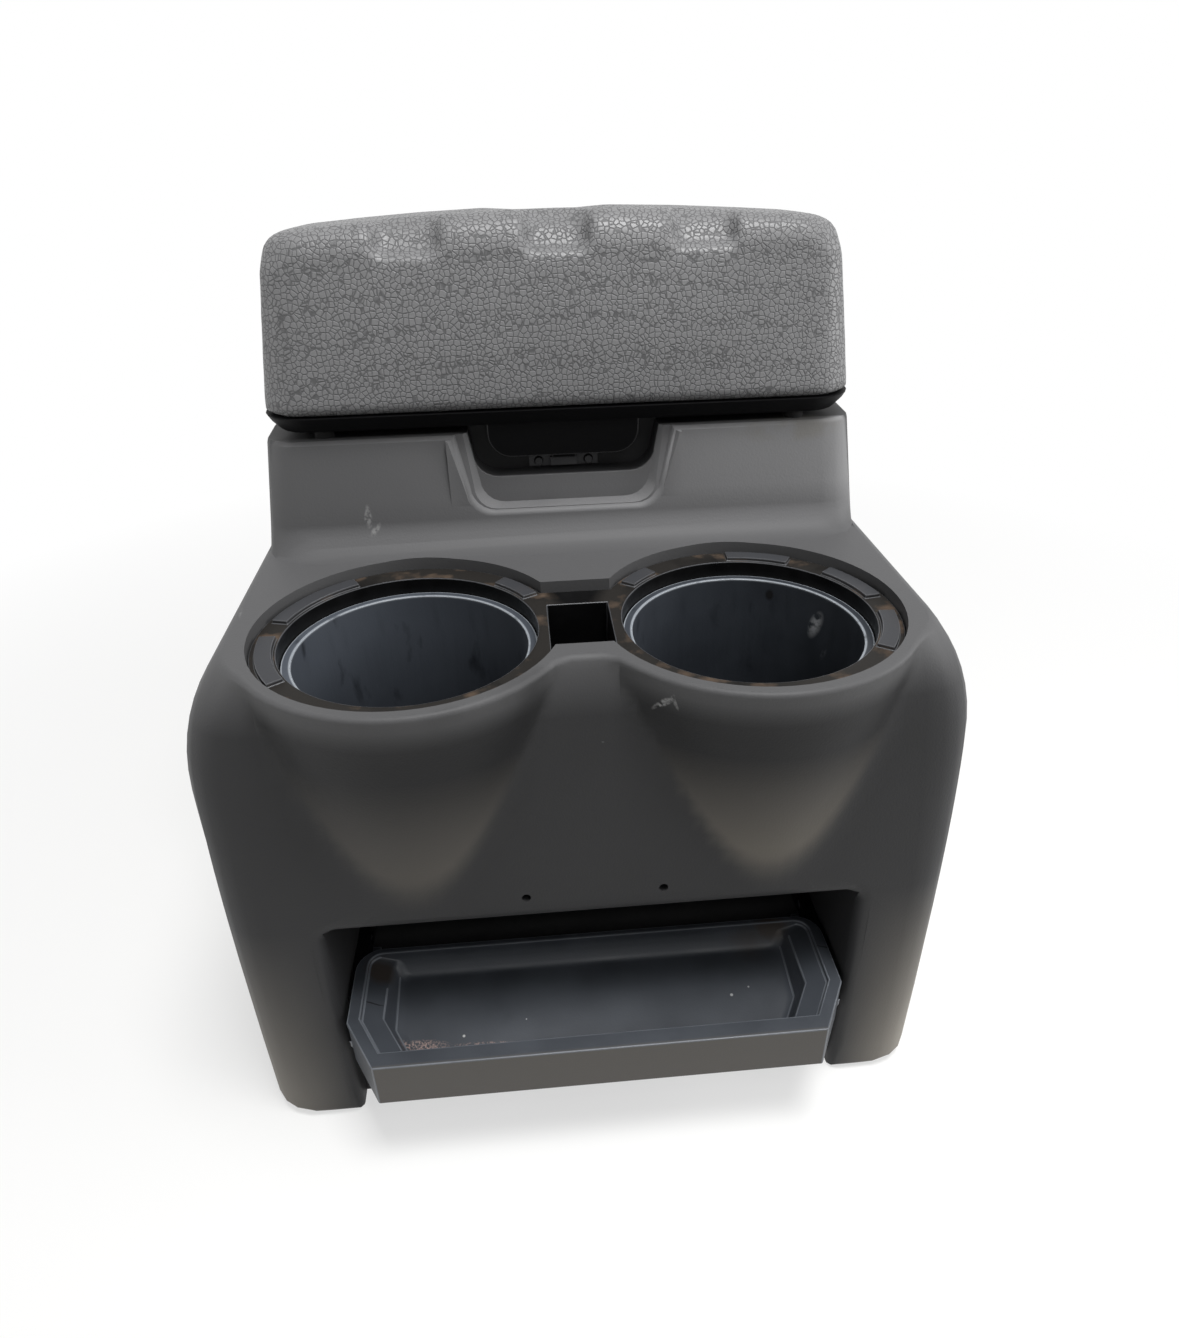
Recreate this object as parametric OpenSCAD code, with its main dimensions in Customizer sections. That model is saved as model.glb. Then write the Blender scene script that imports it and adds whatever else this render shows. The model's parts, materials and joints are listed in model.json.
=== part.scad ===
// Vehicle centre console with twin cup holders, a padded armrest lid over a bin and a small pull-out tray.
// Origin on the floor under the middle of the console; +Z up, -Y towards the tray, X across the vehicle.

/* [Body] */
// Overall depth, from the tray's front to the back of the lid
total_d = 398; // [370:1:430]
// Width of the moulded body
body_w = 286; // [276:1:300]
// Height of the cup deck above the floor
deck_h = 215; // [205:1:235]
// Moulded wall thickness
wall = 3; // [2.4:0.1:3.6]
// How far the body's back stops short of the lid's back
back_overhang = 15; // [14:1:20]
// Width of the flat deck between the shoulders
deck_w = 252; // [250:1:256]
// Depth over which the shoulders round into the sides
shoulder_h = 52; // [40:1:60]
// Distance from the cup axes forward to the front face, at deck level
face_top = 30; // [28:0.5:33]
// How much further forward the front face swells towards the floor
face_swell = 17; // [14:1:22]
// Radius of the body's vertical front corners
front_r = 20; // [14:1:28]
// Radius of the body's vertical back corners
back_r = 18; // [12:1:24]

/* [Cups] */
// Bore of each cup
cup_bore = 85; // [78:0.5:87]
// Depth of each cup from its lip
cup_depth = 78; // [60:1:90]
// Distance between the two cup axes
cup_spacing = 124; // [122:0.5:128]
// Wall of the cup liners
cup_wall = 1.8; // [1.4:0.1:2.2]
// Floor radius of each cup
cup_floor_r = 36.5; // [32:0.5:39]
// Outer radius of the collars on the deck
collar_r = 61; // [60.5:0.25:61.5]
// Radius of the recess inside each collar
recess_r = 56; // [55:0.25:57]
// Depth of that recess
recess_d = 7.5; // [6:0.5:9]
// Length of the open slot between the cups
slot_l = 34; // [30:1:36]
// Width of that slot
slot_w = 23; // [18:1:24]
// Depth of the slot's well
slot_d = 40; // [20:1:60]

/* [Neck and finger recess] */
// Height of the neck above the deck
neck_h = 46; // [40:1:52]
// Distance from the cup axes back to the neck's front face
neck_y = 66; // [64:1:70]
// Width of the neck at its top
neck_w = 239; // [234:1:242]
// Radius of the crease between deck and neck
crease_r = 12; // [8:1:14]
// Width of the finger recess at its top
finger_w = 89; // [80:1:96]
// Height of the finger recess
finger_h = 31.5; // [28:0.5:34]
// Depth of its first step
finger_step = 6; // [5:0.5:7]
// Depth of the hollow behind the step
finger_d = 17; // [15:0.5:19]

/* [Lid] */
// Width of the armrest pad at its base
pad_w = 237; // [230:1:239]
// Height of the pad above the lid pan
pad_h = 73.5; // [62:0.5:76]
// How far the pad's top falls from its front to its back
pad_fall = 24; // [0:1:30]
// Height of the dark lid pan
pan_h = 6.5; // [5.5:0.5:8]
// Gap between the neck's rim and the lid pan
lid_gap = 3.5; // [3:0.25:4.5]
// Thickness of the foam over the lid's core
foam_t = 18; // [14:1:22]
// Width of each notch along the pad's top edge
notch_w = 24; // [18:1:28]
// Distance between the notches
notch_pitch = 55.5; // [48:0.5:62]
// Depth of the notches
notch_d = 5.5; // [3:0.5:7]

/* [Hinge and latch] */
// Diameter of the hinge pin
hinge_pin_d = 5; // [4:0.5:6]
// Length of the hinge pin
hinge_pin_l = 136; // [120:1:150]
// Diameter of the latch pin
latch_pin_d = 3; // [2.5:0.1:3.5]
// Width of the latch paddle
paddle_w = 62; // [54:1:66]
// Radial clearance of a pin in its bore
pin_clear = 0.05; // [0.03:0.01:0.08]
// Clearance between pieces that must not touch
part_gap = 0.3; // [0.2:0.05:0.4]

/* [Tray] */
// Width of the tray across its sides
tray_w = 203; // [190:1:204]
// Width of the tray's straight front
tray_front_w = 178; // [160:1:184]
// Depth of the tray, front to back
tray_d = 59; // [54:1:62]
// How far the tray stands in front of the cup axes
tray_reach = 69; // [67:1:72]
// Height of the tray's rim above the floor
rim_h = 61; // [58:1:66]
// Height of the tray's front
tray_h = 22; // [19:1:24]
// Width of the niche that holds the tray
niche_w = 207; // [206:1:210]
// Gap between the undersides of the cups and the niche's ceiling
niche_gap = 13.7; // [2:0.1:16]
// Depth of the niche behind the cup axes
niche_back = 16; // [14:1:22]
// Radius of the niche's soft edges
niche_r = 5; // [4:0.5:9]
// Distance between the two screw holes over the niche
screw_pitch = 52; // [44:1:60]
// Diameter of those screw holes
screw_hole_d = 3.5; // [3:0.25:4]

/* [Bin] */
// Width of the storage bin inside
bin_w = 204; // [190:1:206]
// Depth of the storage bin from its rim
bin_d = 190; // [120:1:200]
// Wall of the storage bin
bin_wall = 2.5; // [2:0.1:3]

/* [Hidden] */
$fn = 96;
eps = 0.01;

// Lines that everything is set from: the cup axes lie on y = 0 inside place(), which moves them into the frame
cup_y = tray_reach - total_d / 2;
back_y = total_d - tray_reach;
body_back = back_y - back_overhang;
half_pitch = cup_spacing / 2;
spin_y = 170;
bore_l = 30;
barrel_taper = 0.196;
barrel_lean = 0.046;
barrel_min_r = 20;
face_run = 60;
blend_k = 6;
edge_r = 2;
toe_in = 5;
toe_r = 6;
neck_top = deck_h + neck_h;
neck_lean = 4;
neck_flare = (deck_w - neck_w) / 2;
neck_r = 12;
neck_set = 0.4;

// Directions of a ring's points, in degrees from -Y towards +X, close together where the form turns
half_fan = concat([for (a = [0:1.5:52.5]) a], [58, 66, 78, 91, 104, 117, 127],
                  [for (a = [132:2.5:147]) a], [154, 166]);
fan = concat(half_fan, [180], [for (i = [len(half_fan) - 1:-1:1]) 360 - half_fan[i]]);

// Larger of two radii with a fillet of size k where they are close
function smooth_max(a, b, k) = let (h = max(k - abs(a - b), 0) / k) max(a, b) + h * h * k / 4;

// Distance from (0, spin_y) to a rounded rectangle: half width w, front y f, back y b, corner radii rf and rb
function box_reach(a, w, f, b, rf, rb) =
    let (s = abs(sin(a)), c = -cos(a),
         t = min(s < eps ? 1e6 : w / s, c < 0 ? (f - spin_y) / c : (c > 0 ? (b - spin_y) / c : 1e6)),
         r = c < 0 ? rf : rb,
         q = [w - r, c < 0 ? f + r - spin_y : b - r - spin_y],
         corner = t * s > w - r && (c < 0 ? t * c < q[1] : t * c > q[1]),
         m = s * q[0] + c * q[1])
    corner ? m + sqrt(max(m * m - q * q + r * r, 0)) : t;

// Distance from (0, spin_y) to the far side of a barrel of radius r whose axis is x off the middle
function barrel_reach(a, x, r) =
    let (s = abs(sin(a)), c = -cos(a), m = s * x - c * spin_y, disc = m * m - x * x - spin_y * spin_y + r * r)
    disc > 0 ? m + sqrt(disc) : 0;

// Half width, front and foot inset of the body at height z
function side_at(z) = body_w / 2 - (body_w - deck_w) / 2 * pow(max(1 - (deck_h - z) / shoulder_h, 0), 2.6);
function face_at(z) = -face_top - face_swell * (1 - exp(-(deck_h - z) / face_run));
function foot_at(z) = z < toe_r ? toe_in * (1 - sqrt(1 - pow(1 - z / toe_r, 2))) : 0;

// One ring of the body at height z, drawn in by an offset
function body_ring(z, in) =
    let (w = side_at(z) - foot_at(z) - in, f = face_at(z) + foot_at(z) + in, d = deck_h - z,
         x = half_pitch + barrel_lean * d, rb = max(collar_r - barrel_taper * d - in, barrel_min_r))
    [for (a = fan) let (
        b = box_reach(a, w, f, body_back - foot_at(z) - in, front_r - in, back_r - in),
        r = smooth_max(b, barrel_reach(a, x, rb), blend_k))
        [r * sin(a), spin_y - r * cos(a), z]];

// One ring of the neck, h above the deck, with its front at y f
function neck_ring(h, f, in, r = neck_r) =
    let (w = neck_w / 2 + neck_flare * (1 - h / neck_h) - in)
    [for (a = fan) let (t = box_reach(a, w, f + in, body_back - neck_set - in, r, back_r - neck_set - in))
        [t * sin(a), spin_y - t * cos(a), deck_h + h]];

// Closed solid through rings of equal length, the first and last closed by fans
function mid(r) = [for (k = [0:2]) [for (p = r) p[k]] * [for (p = r) 1] / len(r)];
module loft(rings) {
    n = len(rings[0]);
    m = len(rings);
    polyhedron(
        points = concat([for (r = rings) each r], [mid(rings[0]), mid(rings[m - 1])]),
        faces = concat(
            [for (i = [0:m - 2], j = [0:n - 1]) let (k = (j + 1) % n)
                each [[i * n + j, (i + 1) * n + k, i * n + k], [i * n + j, (i + 1) * n + j, (i + 1) * n + k]]],
            [for (j = [0:n - 1]) [m * n, j, (j + 1) % n]],
            [for (j = [0:n - 1]) [m * n + 1, (m - 1) * n + (j + 1) % n, (m - 1) * n + j]]),
        convexity = 10);
}

// Sets a piece drawn about the cup axes into the part's frame
module place() { translate([0, cup_y, 0]) children(); }
module both_sides() { children(); mirror([1, 0, 0]) children(); }
module box(x0, x1, y0, y1, z0, z1) { translate([x0, y0, z0]) cube([x1 - x0, y1 - y0, z1 - z0]); }
module at_cups() { for (s = [-1, 1]) translate([s * half_pitch, 0, 0]) children(); }

// Rounded rectangle with true arcs, centred in x, from y0 to y1
module round_rect(w, y0, y1, r) {
    translate([-w / 2 + r, y0]) square([w - 2 * r, y1 - y0]);
    translate([-w / 2, y0 + r]) square([w, y1 - y0 - 2 * r]);
    for (x = [-1, 1], y = [y0 + r, y1 - r]) translate([x * (w / 2 - r), y]) circle(r);
}

// Pan-head screw with its head's underside at the origin, pointing down
module screw(d, l) {
    translate([0, 0, -l]) cylinder(d = d, h = l, $fn = 24);
    cylinder(d1 = d * 2, d2 = d * 1.5, h = d * 0.6, $fn = 24);
}

// Hole for a screw or a pin, drawn through the origin
module bore(d, h = bore_l) { cylinder(d = d + 2 * pin_clear, h = h, center = true, $fn = 24); }

// Cup seats, measured down from the deck
flange_t = 3;
flange_z = deck_h - recess_d;
lip_top = deck_h - 10.5;
lip_t = 1.5;
cup_r = cup_bore / 2;
cup_straight = 12;
tube_r = cup_r + 4;
tube_wall = 3.2;
lip_r = tube_r - part_gap;
seat_r = cup_r + cup_wall + 0.5;
seat_t = 3;
tube_z = lip_top - lip_t - seat_t;
ledge_t = 4;
bridge_w = cup_spacing - 2 * recess_r + 24;
bridge_front = -21;
bridge_back = 28;
well_wall = 2;
land_t = 1.4;
land_w = 6;
clip_reach = 1.6;
left_lands = [[29, 50], [119, 164], [177, 215]];
right_lands = [[9, 39], [58, 87], [127, 144], [324, 355]];

module cup_pair(r) { at_cups() circle(r); }
module carrier_outline(grow) {
    cup_pair(recess_r - part_gap + grow);
    translate([-bridge_w / 2 - grow, bridge_front + part_gap - grow])
        square([bridge_w + 2 * grow, bridge_back - bridge_front - 2 * part_gap + 2 * grow]);
}

// Mouth of the niche as a closed ring in x and z, pushed out by o, at depth e behind the front face
niche_h = lip_top - cup_depth - cup_wall - niche_gap - wall;
niche_arc_r = 7;
sill_h = rim_h - tray_h - 9;
mouth_d = niche_r + 4;
sill_y = face_at(sill_h) + mouth_d + 2;
screw_rise = 6;
screw_hole_z = niche_h + niche_r + screw_rise;
function niche_edge(o) =
    let (w = niche_w / 2 + o, t = niche_h + o, r = niche_arc_r)
    concat([[w, -10], [w, niche_h / 6], [w, niche_h / 2]],
           [for (a = [0:15:90]) [w - r + r * cos(a), t - r + r * sin(a)]],
           [[w / 2, t], [0, t], [-w / 2, t]],
           [for (a = [90:15:180]) [-w + r + r * cos(a), t - r + r * sin(a)]],
           [[-w, niche_h / 2], [-w, niche_h / 6], [-w, -10]]);
function niche_ring(o, e) = [for (p = niche_edge(o)) [p[0], face_at(max(p[1], 0)) + e, p[1]]];
module niche_mouth() {
    rounds = [for (e = [1, 0.6, 0.3, 0.1, 0]) [niche_r * (1 - sqrt(1 - pow(1 - e, 2))), niche_r * e]];
    loft([for (k = concat([[0, mouth_d]], rounds, [[niche_r * 1.5, -niche_r]])) niche_ring(k[0], k[1])]);
}

// Finger recess: ring of its outline at depth y, drawn in by i, with its floor at height floor_z
finger_z = neck_top - finger_h;
finger_y = neck_y + 1.5;
finger_back = finger_y + finger_d;
finger_r = 10;
finger_slant = 7.5;
lip_h = 12.5;
function finger_half(h) = finger_w / 2 - finger_slant * (1 - h / finger_h);
function finger_ring(y, i, floor_z, lean = 0) =
    let (top = neck_top + wall, r = finger_r, wt = finger_half(finger_h) - i,
         wb = finger_half(floor_z - finger_z + r) - i)
    [for (p = concat([[wt, top]], [for (a = [0:-15:-90]) [wb - r + r * cos(a), floor_z + r + r * sin(a)]],
                     [for (a = [-90:-15:-180]) [-wb + r + r * cos(a), floor_z + r + r * sin(a)]], [[-wt, top]]))
        [p[0], y + lean * (p[1] - finger_z) / neck_h, p[1]]];
function neck_face(h) = neck_y + neck_lean * h / neck_h;

// Storage bin and its rim
bin_front = finger_back + 9;
bin_back = body_back - 14;
bin_flange = 5;
bin_flange_t = 1.5;
bin_r = 12;
bin_screw_d = 2.5;
bumper_x = 96;
bumper_y = neck_y + 12;
bumper_r = 4;
bumper_stem_d = 3;

// Floor brackets
bracket_t = 2;
bracket_w = 30;
bracket_front_y = niche_back + 26;
bracket_rear_y = body_back - 50;
bracket_hole_d = 8.5;
bracket_pitch = 180;
bracket_tab_h = 26;
bracket_screw_d = 4;
bracket_screw_z = 17;
boss_l = 7;
boss_r = 6;

// Hinge, behind the body and just below the lid pan
hinge_y = body_back + 7.5;
hinge_z = neck_top - 2.5;
knuckle_r = 4.6;
knuckle_l = 16;
hinge_t = 2.2;
hinge_leaf_h = 34;
hinge_leaf_w = 40;
hinge_screw_x = hinge_leaf_w / 3;
hinge_screw_z = hinge_z - hinge_leaf_h * 0.65;
hinge_x = 44;
hinge_screw_d = 4;
arm_l = 9.7;
arm_x = knuckle_l / 2 + part_gap + arm_l / 2;
arm_front = back_y - foam_t + 1;
arm_screw_d = 2.5;

// Lid
pan_z = neck_top + lid_gap;
pad_z = pan_z + pan_h;
lid_front = neck_y;
lid_r = 18;
pan_in = 5;
pan_t = 2.5;
core_top = pad_z + pad_h - foam_t - pad_fall;
core_t = 3;
core_r = 8;
pan_screw_d = 3;
pan_screw_l = 12;
pad_lean = 0.16;
pad_straight = pad_h - 20;
edge_in = 14;
crown_x = 7;
crown_y = 2.5;
notch_low = pad_h - 19;
notch_back = lid_front + 27;

// Latch
paddle_y = finger_y + 8;
paddle_t = 3;
paddle_r = 10;
paddle_swing = 3;
paddle_bottom = neck_top - 11.5;
latch_y = paddle_y + 3.5;
latch_z = pad_z + 6;
latch_boss_r = latch_pin_d / 2 + 2;
pocket_w = paddle_w + 16;
pocket_d = 26;
pocket_h = 18;
ear_x = paddle_w / 2 + 2;
ear_t = 4;
striker_w = 11;
striker_h = 3.5;
striker_t = 1.2;
striker_z = finger_z + lip_h + 1.3;
striker_proud = 3;
striker_screw_d = 2;
hook_w = 10;
hook_back = finger_back - 1.8;
spring_l = 16;
spring_wire = 1;

// Tray runners
rail_w = 5.7;
rail_h = 7;
rail_head = 2.6;
flange_h = 3;
rail_z = rim_h - flange_h - part_gap;
rail_front = -32;
rail_back = niche_back - 4;
tray_z = rim_h - tray_h;
tray_t = 2.4;
tray_chamfer = 22;
tray_shoulder = 21;
tray_back_r = 11;
floor_rise = 10;
rail_screw_d = 3;
runner_t = 3;
runner_back = niche_back - 15;
tray_in = niche_w / 2 - rail_w - 2 * part_gap;

module shell_body() {
    heights = [0, 0.007, 0.023, 0.19, 0.41, 0.5, 0.55, 0.59, 0.63, 0.665, 0.702, 0.74, 0.777, 0.814,
               0.847, 0.877, 0.905, 0.93, 0.951, 0.97, 0.982];
    inner_heights = [0.963, 0.874, 0.767, 0.65, 0.535, 0.37, 0];
    loft(concat(
        [neck_ring(neck_h - wall, neck_face(neck_h), wall), neck_ring(-wall, neck_y, wall),
         body_ring(deck_h - wall, wall)],
        [for (t = inner_heights) body_ring(t * deck_h, wall)],
        [for (t = heights) body_ring(t * deck_h, 0)],
        [for (t = [0:22.5:90]) body_ring(deck_h - edge_r * (1 - sin(t)), edge_r * (1 - cos(t)))],
        [for (t = [0, 25, 45, 62, 78, 90]) let (h = crease_r * (1 - cos(t)), in = crease_r * (1 - sin(t)))
            neck_ring(h, neck_face(h) - in, 0, neck_r + in)],
        [neck_ring(neck_h - 1.5, neck_face(neck_h - 1.5), 0), neck_ring(neck_h, neck_face(neck_h) + 1, 0)]));
}

module niche_walls() {
    x = niche_w / 2 + wall;
    front = face_at(niche_h) + wall / 2;
    difference() {
        union() {
            box(-x, x, front, niche_back + wall, 0, niche_h + wall);
            // Header that backs the mouth's round edge, clear of the cup liners
            box(-x, x, front, -cup_floor_r - cup_wall - 3 * part_gap, niche_h,
                screw_hole_z + screw_hole_d + wall);
        }
        box(-x - 1, x + 1, sill_y + wall, niche_back + wall + 1, -1, sill_h - wall);
    }
}

module finger_walls() {
    x = finger_w / 2 + wall;
    box(-x, x, neck_y + wall / 2, finger_back + wall, finger_z - wall, neck_top - wall / 2);
}

module finger_recess() {
    y0 = neck_face(neck_h - finger_h);
    rounds = [for (t = [0:22.5:90]) [edge_r * (1 - cos(t)), edge_r * (sin(t) - 1)]];
    loft([for (k = concat([[-2 * edge_r, -2 * edge_r]], rounds))
        finger_ring(y0 + k[0], k[1], finger_z + k[1], neck_lean)]);
    loft([for (k = [[y0 + edge_r / 2, 0], [finger_y + finger_step, 4.5]])
        finger_ring(k[0], k[1], finger_z + k[1] * 0.4)]);
    loft([for (y = [finger_y + finger_step - 0.5, finger_back]) finger_ring(y, 5, finger_z + lip_h)]);
}

// The moulded body
module console_shell() color("#37383a") place() difference() {
    union() {
        shell_body();
        translate([0, 0, flange_z - ledge_t]) linear_extrude(recess_d + ledge_t - 0.6) carrier_outline(2.5);
        niche_walls();
        finger_walls();
        bracket_places() translate([body_w / 2 - wall - boss_l, 0, bracket_screw_z])
            rotate([0, 90, 0]) cylinder(r = boss_r, h = boss_l + wall / 2, $fn = 32);
    }
    // Recess left open by the missing trim, seats of the carrier's tubes and the slot's well
    translate([0, 0, flange_z]) linear_extrude(recess_d + 1) carrier_outline(part_gap);
    translate([0, 0, flange_z - ledge_t - 1]) linear_extrude(recess_d) cup_pair(tube_r + tube_wall + part_gap);
    well(part_gap, 30);
    // Niche and the cut-out under the tray
    niche_mouth();
    box(-niche_w / 2, niche_w / 2, face_at(sill_h) + niche_r, niche_back, sill_h, niche_h);
    box(-niche_w / 2, niche_w / 2, face_at(0) - 10, sill_y, -1, niche_h);
    for (s = [-1, 1]) translate([s * screw_pitch / 2, 0, screw_hole_z])
        rotate([90, 0, 0]) cylinder(d = screw_hole_d, h = collar_r, $fn = 32);
    finger_recess();
    // Opening for the storage bin
    translate([0, 0, deck_h]) linear_extrude(neck_h + 1)
        round_rect(bin_w + 2 * bin_wall + 2 * part_gap, bin_front - part_gap, bin_back + part_gap, bin_r);
    // Screw holes
    bin_places() translate([0, 0, neck_top]) bore(bin_screw_d);
    rail_places() bore(rail_screw_d, rail_w + wall + 2);
    bracket_places() translate([body_w / 2 - wall - boss_l - 1, 0, bracket_screw_z])
        rotate([0, 90, 0]) cylinder(d = bracket_screw_d + 2 * pin_clear, h = boss_l, $fn = 24);
    hinge_base_places() bore(hinge_screw_d);
    striker_places() bore(striker_screw_d);
    both_sides() translate([bumper_x, bumper_y, neck_top])
        cylinder(d = bumper_stem_d, h = bore_l, center = true, $fn = 24);
}

// Space of the slot between the cups, grown by a clearance and d deep from the deck
module well(grow, d) {
    x = slot_w / 2 + well_wall + grow;
    y = slot_l / 2 + well_wall + grow;
    box(-x, x, -y, y, deck_h - d, deck_h);
}

// Raised grey lands and clip hooks round one cup, as spans in degrees from +X
module lands(spans) {
    for (a = spans) rotate([0, 0, a[0]]) translate([0, 0, flange_z + flange_t - eps])
        rotate_extrude(angle = a[1] - a[0], $fn = 96)
            translate([tube_r + 1.2, 0]) square([land_w, land_t + eps]);
}
module clips() {
    for (a = [60, 180, 300]) rotate([0, 0, a])
        box(tube_r + 1, tube_r + tube_wall + clip_reach, -5, 5, tube_z, flange_z - ledge_t - part_gap);
}

module cup_carrier() color("#1a1b1d") place() difference() {
    union() {
        translate([0, 0, flange_z]) linear_extrude(flange_t) carrier_outline(0);
        at_cups() translate([0, 0, tube_z]) cylinder(r = tube_r + tube_wall, h = flange_z + flange_t - tube_z);
        at_cups() clips();
        intersection() {
            well(0, recess_d - flange_t + slot_d + well_wall);
            translate([0, 0, flange_z + flange_t - 100]) linear_extrude(100) square(100, center = true);
        }
        translate([-half_pitch, 0, 0]) lands(left_lands);
        translate([half_pitch, 0, 0]) lands(right_lands);
    }
    at_cups() {
        translate([0, 0, tube_z - 1]) cylinder(r = seat_r, h = 60);
        translate([0, 0, tube_z + seat_t]) cylinder(r = tube_r, h = 60);
    }
    box(-slot_w / 2, slot_w / 2, -slot_l / 2, slot_l / 2, flange_z + flange_t - slot_d, deck_h);
}

module cup_liner() {
    b = lip_top - cup_depth;
    f = 4;
    o = cup_wall;
    rotate_extrude() polygon(concat(
        [[0, b - o], [cup_floor_r + o - 2, b - o], [cup_floor_r + o, b + 2],
         [cup_r + o, lip_top - cup_straight], [cup_r + o, lip_top - lip_t], [lip_r, lip_top - lip_t],
         [lip_r, lip_top - 0.4], [lip_r - 0.4, lip_top], [cup_r + 0.4, lip_top], [cup_r, lip_top - 0.4],
         [cup_r, lip_top - cup_straight]],
        [for (a = [0:22.5:90]) [cup_floor_r - f + f * cos(a), b + f - f * sin(a)]],
        [[0, b]]));
}
module cup_liner_left() color("#3c4148") place() translate([-half_pitch, 0, 0]) cup_liner();
module cup_liner_right() color("#3c4148") place() translate([half_pitch, 0, 0]) cup_liner();

// Screws through the tray's rails into the niche's walls, drawn about their own axis, heads inside
module rail_places() {
    both_sides() for (y = [rail_front + 9, rail_back - 9])
        translate([niche_w / 2, y, rail_z - rail_h / 2]) rotate([0, 90, 0]) children();
}
module tray_rail() place() difference() {
    box(niche_w / 2 - rail_w, niche_w / 2, rail_front, rail_back, rail_z - rail_h, rail_z);
    rail_places() {
        bore(rail_screw_d, 3 * rail_w);
        translate([0, 0, -rail_w - 1]) cylinder(r = rail_screw_d + part_gap, h = 1 + rail_head, $fn = 24);
    }
}
module tray_rail_right() color("#202123") tray_rail();
module tray_rail_left() color("#202123") mirror([1, 0, 0]) tray_rail();
module rail_screws() color("#8d8f92") place() rail_places()
    translate([0, 0, rail_head - rail_w]) rotate([180, 0, 0]) screw(rail_screw_d, rail_w - rail_head + wall);

// Tray outline, drawn in by si at the sides, fi at the front and bi at the back
function tray_outline(si, fi, bi) =
    let (hf = tray_front_w / 2, hw = tray_w / 2, dx = hw - hf, l = norm([dx, tray_chamfer]),
         nx = tray_chamfer / l, ny = dx / l, y0 = -tray_reach, y1 = tray_d - tray_reach - bi, w = hw - si,
         x0 = hf - nx * si + (fi - ny * si) * dx / tray_chamfer,
         y2 = y0 + ny * si + (w - hf + nx * si) * tray_chamfer / dx,
         r = max(tray_back_r - si, 4),
         half = concat([[x0 / 2, y0 + fi], [x0, y0 + fi], [w, y2], [w, (y2 + y1) / 2]],
                       [for (a = [0:15:90]) [w - r + r * cos(a), y1 - r + r * sin(a)]], [[w / 2, y1]]))
    concat(half, [for (i = [len(half) - 1:-1:0]) [-half[i][0], half[i][1]]]);
function tray_floor(y) = tray_z + tray_t + floor_rise * (y + tray_reach) / tray_d;
function tray_ring(k) = [for (p = tray_outline(k[0], k[1], k[2]))
    [p[0], p[1], max(k[3], tray_floor(p[1]) + k[4])]];

module storage_tray() color("#41464d") place() difference() {
    union() {
        translate([0, 0, rim_h - flange_h]) linear_extrude(flange_h) polygon(tray_outline(0, 0, 0));
        translate([0, 0, tray_z]) linear_extrude(tray_h - eps) intersection() {
            polygon(tray_outline(0, 0, 0));
            translate([-tray_w, -tray_reach]) square([2 * tray_w, tray_shoulder]);
        }
        translate([0, 0, tray_z]) linear_extrude(tray_h - eps)
            polygon(tray_outline(tray_w / 2 - tray_in, 0, 0));
        // Runner lips that reach under the rails and hold the tray level when it is out
        both_sides() box(tray_in - runner_t, tray_w / 2, tray_shoulder - tray_reach - eps, runner_back,
                         rail_z - rail_h - part_gap - runner_t, rail_z - rail_h - part_gap);
    }
    // Basin: steep inner walls, a sloping shelf inside the rim and a floor that rises to the back
    loft([for (k = [[21, 13, 9, 0, 0], [17.5, 10.5, 6, 0, 1.6], [16, 9.8, 4.4, 0, 5],
                    [14, 9, 3.6, rim_h - 4, 6], [5.6, 7.4, 3, rim_h - 2, 7],
                    [5, 7, 2.6, rim_h + 1, 8]]) tray_ring(k)]);
}

module bin_places() {
    both_sides() for (y = [bin_front + 22, (bin_front + bin_back) / 2, bin_back - 22])
        translate([bin_w / 2 + bin_wall + bin_flange / 2 + 0.2, y, 0]) children();
}
module storage_bin() color("#232426") place() difference() {
    union() {
        translate([0, 0, neck_top + bin_flange_t - bin_d - bin_wall]) linear_extrude(bin_d + bin_wall)
            round_rect(bin_w + 2 * bin_wall, bin_front, bin_back, bin_r);
        translate([0, 0, neck_top]) linear_extrude(bin_flange_t)
            round_rect(bin_w + 2 * (bin_wall + bin_flange), bin_front - bin_flange, bin_back + bin_flange,
                       bin_r + 4);
    }
    translate([0, 0, neck_top + bin_flange_t - bin_d]) linear_extrude(bin_d + 1)
        round_rect(bin_w, bin_front + bin_wall, bin_back - bin_wall, bin_r - bin_wall);
    bin_places() translate([0, 0, neck_top]) bore(bin_screw_d);
}
module bin_screws() color("#8d8f92") place() bin_places()
    translate([0, 0, neck_top + bin_flange_t]) screw(bin_screw_d, 7);

// Catch plate on the back wall of the finger recess, with one bright tongue
module striker_places() {
    both_sides() translate([striker_w / 2 + 5, finger_back, striker_z + striker_h / 2])
        rotate([90, 0, 0]) children();
}
module latch_striker() color("#a9adb1") place() difference() {
    union() {
        box(-striker_w / 2 - 9, striker_w / 2 + 9, finger_back - striker_t, finger_back, striker_z - 0.5,
            striker_z + striker_h + 5);
        box(-striker_w / 2, striker_w / 2, finger_back - striker_proud, finger_back, striker_z,
            striker_z + striker_h);
    }
    striker_places() bore(striker_screw_d);
}
module striker_screws() color("#8d8f92") place() striker_places()
    translate([0, 0, striker_t]) screw(striker_screw_d, 5);

module bumper() place() {
    translate([bumper_x, bumper_y, neck_top]) {
        cylinder(r1 = bumper_r, r2 = bumper_r - 0.6, h = lid_gap - 2 * part_gap, $fn = 32);
        translate([0, 0, -wall]) cylinder(d = bumper_stem_d, h = wall + eps, $fn = 24);
    }
}
module bumper_right() color("#141414") bumper();
module bumper_left() color("#141414") mirror([1, 0, 0]) bumper();

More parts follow.
